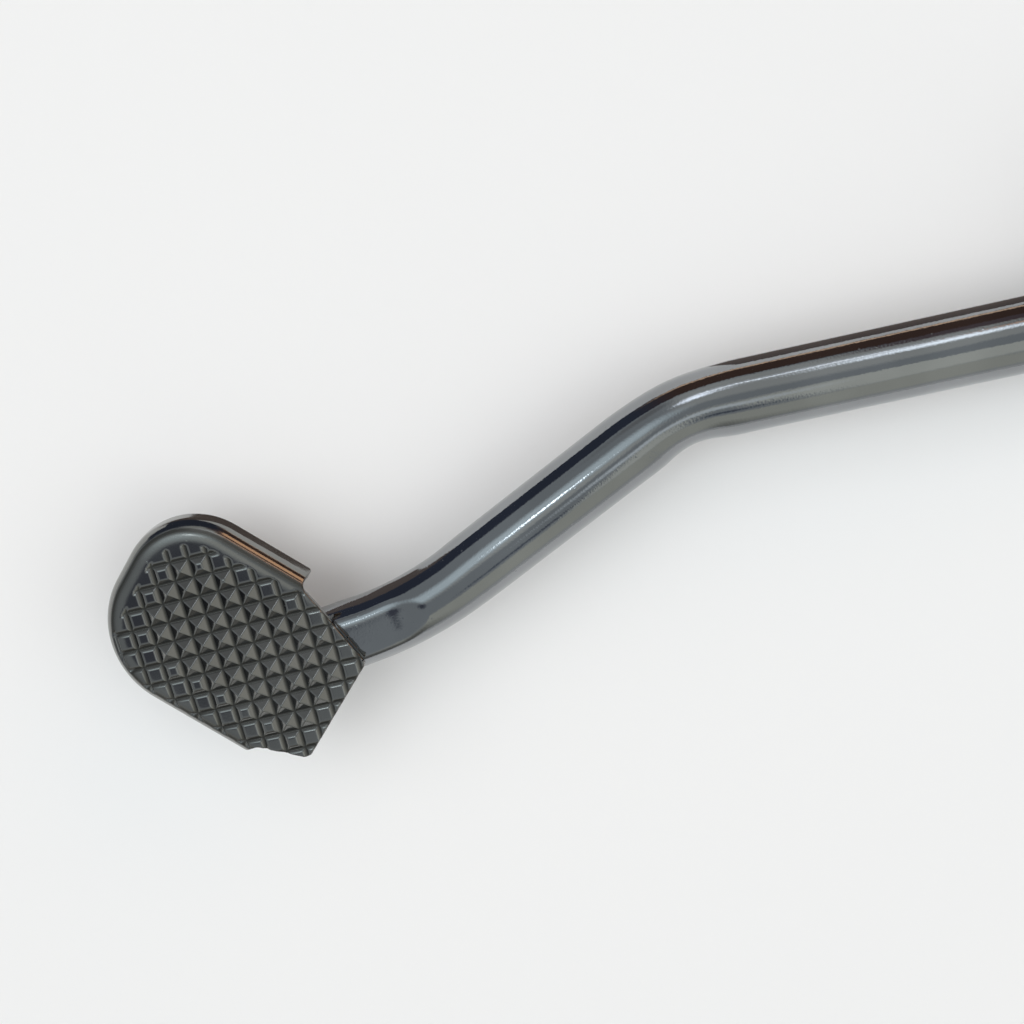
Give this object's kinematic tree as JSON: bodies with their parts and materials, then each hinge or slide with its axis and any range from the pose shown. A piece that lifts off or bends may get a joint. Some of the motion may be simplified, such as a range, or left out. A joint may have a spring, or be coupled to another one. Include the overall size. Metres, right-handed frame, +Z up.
{
  "type": "rear brake pedal",
  "caption": "Chromed motorcycle rear brake pedal: bent tube arm, pressed tread plate with pyramid pattern, pivot tube, brake rod lever and stop lug.",
  "frame": {"origin": "middle of the pivot tube's bore, on its axis", "axes": "+Y along the pivot axis, outwards from the machine; +X to the rear; +Z up, square to the tread plate; the tread lies towards -X and +Y"},
  "size_m": [0.3116, 0.164, 0.0798],
  "materials": {
    "tread_chrome": "chrome plate dulled by the pressed pattern",
    "arm_chrome": "bright chrome plate with small pimples",
    "fitting_chrome": "bright chrome plate",
    "weld_chrome": "chrome plate over weld beads"
  },
  "bodies": {
    "root": {"tread_plate": "tread_chrome", "pedal_arm": "arm_chrome", "pivot_tube": "fitting_chrome", "rod_lever": "fitting_chrome", "stop_lug": "fitting_chrome", "rear_seat_weld": "weld_chrome", "front_seat_weld": "weld_chrome", "arm_weld": "weld_chrome", "inner_lever_weld": "weld_chrome", "outer_lever_weld": "weld_chrome", "inner_lug_weld": "weld_chrome", "outer_lug_weld": "weld_chrome"}
  },
  "joints": []
}
